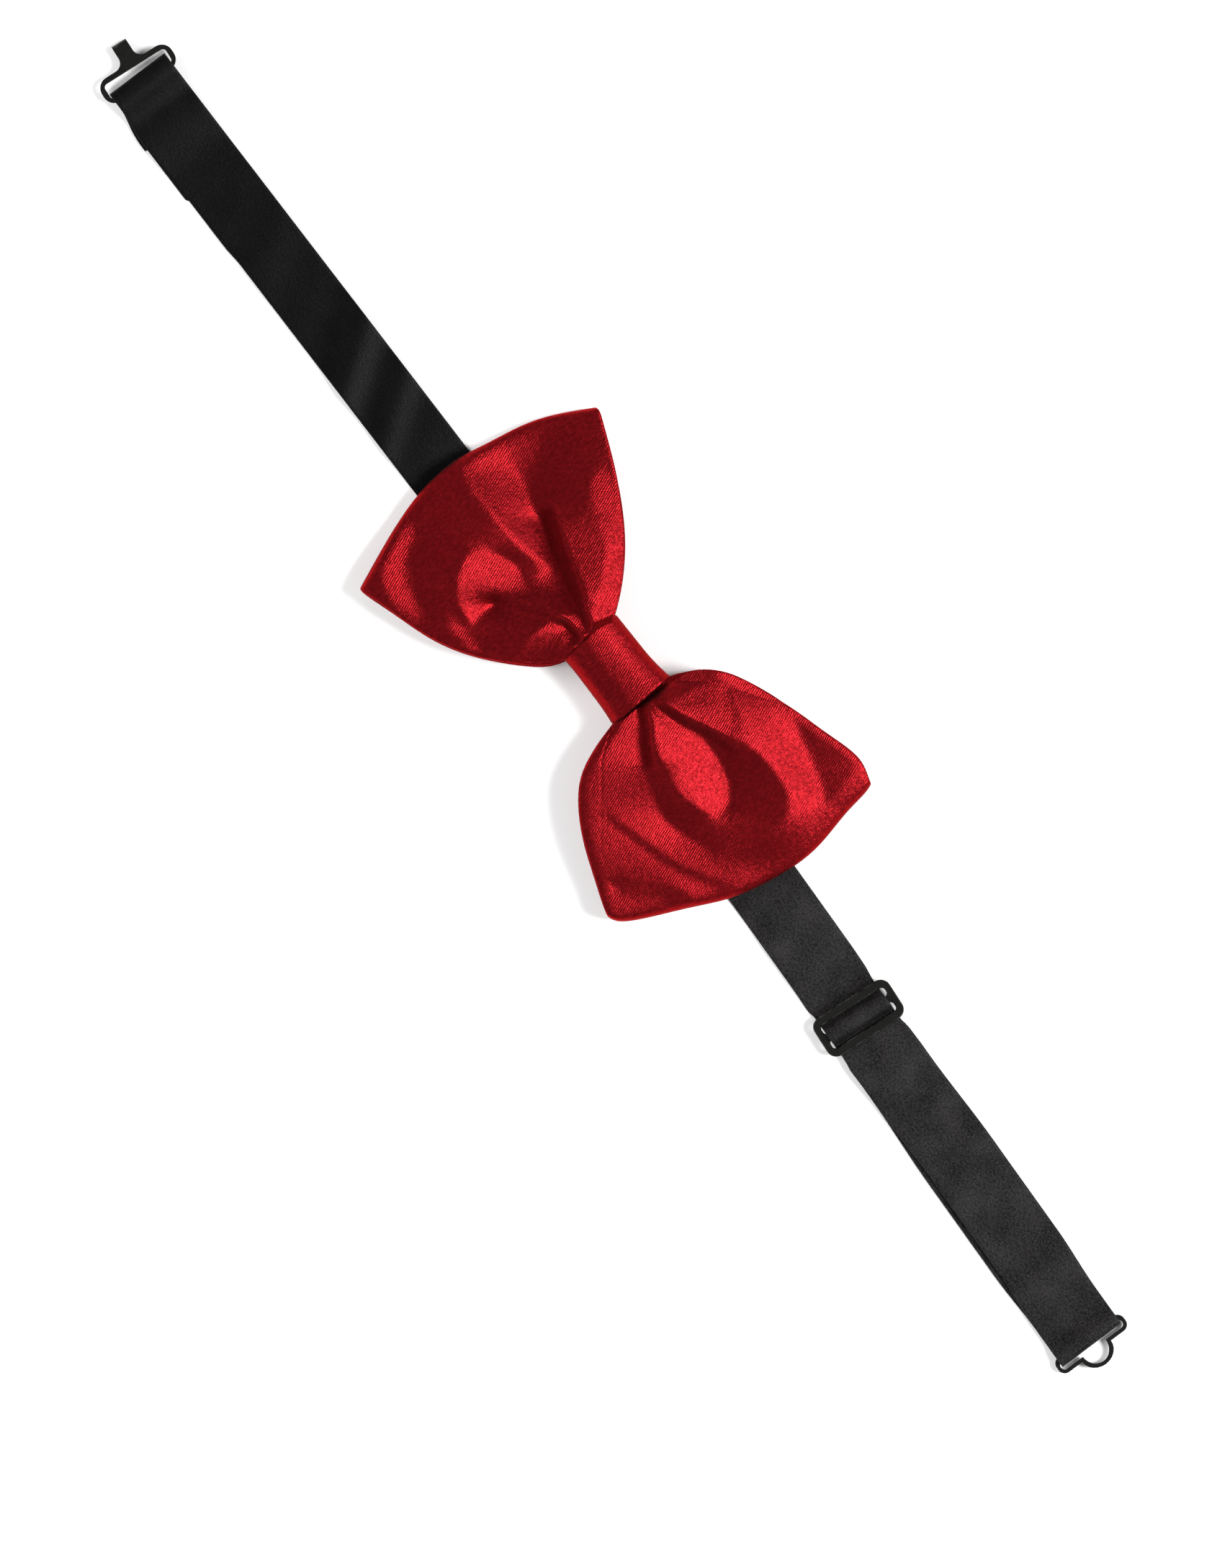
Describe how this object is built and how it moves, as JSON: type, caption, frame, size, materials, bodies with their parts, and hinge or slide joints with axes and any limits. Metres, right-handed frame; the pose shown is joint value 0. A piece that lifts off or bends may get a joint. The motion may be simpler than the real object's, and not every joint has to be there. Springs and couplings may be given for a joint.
{
  "type": "bow tie",
  "caption": "Ready-tied satin bow on a narrow neckband that fastens with a hook and eye and is shortened or lengthened with a slider.",
  "frame": {"origin": "middle of the knot's back face, where the bow rests on a collar or a table", "axes": "+X along the neckband from the hook to the eye, +Y up the wings, +Z out of the front of the bow"},
  "size_m": [0.3747, 0.0681, 0.0164],
  "materials": {
    "satin": "red satin",
    "lining": "white non-woven lining",
    "ribbon": "black twill satin ribbon",
    "red_thread": "red polyester thread",
    "black_thread": "black polyester thread",
    "black_metal": "black lacquer, worn bright on some edges"
  },
  "bodies": {
    "neckband": {"band_ribbon": "ribbon", "hook_hem_stitches": "black_thread", "band_slider_run": "ribbon"},
    "bow": {"bow_satin": "satin", "bow_lining": "lining", "waist_thread": "red_thread", "knot_strip": "satin", "knot_thread": "red_thread"},
    "hook": {"hook_plate": "black_metal"},
    "slider": {"slider_frame": "black_metal", "band_slider_bend": "ribbon", "band_slider_loop": "ribbon", "slider_end_stitches": "black_thread", "band_front_run": "ribbon", "band_back_run": "ribbon"},
    "eye_end": {"band_eye_fold": "ribbon"},
    "eye": {"eye_plate": "black_metal"}
  },
  "joints": [
    {"name": "bow_slide", "type": "slide", "parent": "neckband", "child": "bow", "axis": [1, 0, 0], "range_m": [-0.006, 0.006]},
    {"name": "hook_hinge", "type": "hinge", "parent": "neckband", "child": "hook", "pos_m": [-0.1713, -0.00542, 0.0022], "axis": [0.0785, 0.9969, 0], "range_deg": [-120, 150]},
    {"name": "slider_slide", "type": "slide", "parent": "neckband", "child": "slider", "axis": [0.9997, -0.0257, 0], "range_m": [-0.022, 0.11], "deforming": ["band_slider_run", "band_front_run", "band_back_run"]},
    {"name": "eye_end_slide", "type": "slide", "parent": "slider", "child": "eye_end", "axis": [0.9997, -0.0257, 0], "range_m": [-0.055, 0.011]},
    {"name": "eye_hinge", "type": "hinge", "parent": "eye_end", "child": "eye", "pos_m": [0.1852, -0.00583, 0.00137], "axis": [0, -1, 0], "range_deg": [-120, 150]}
  ],
  "couplings": [
    {"joint": "eye_end_slide", "follows": "slider_slide", "ratio": -0.5}
  ]
}
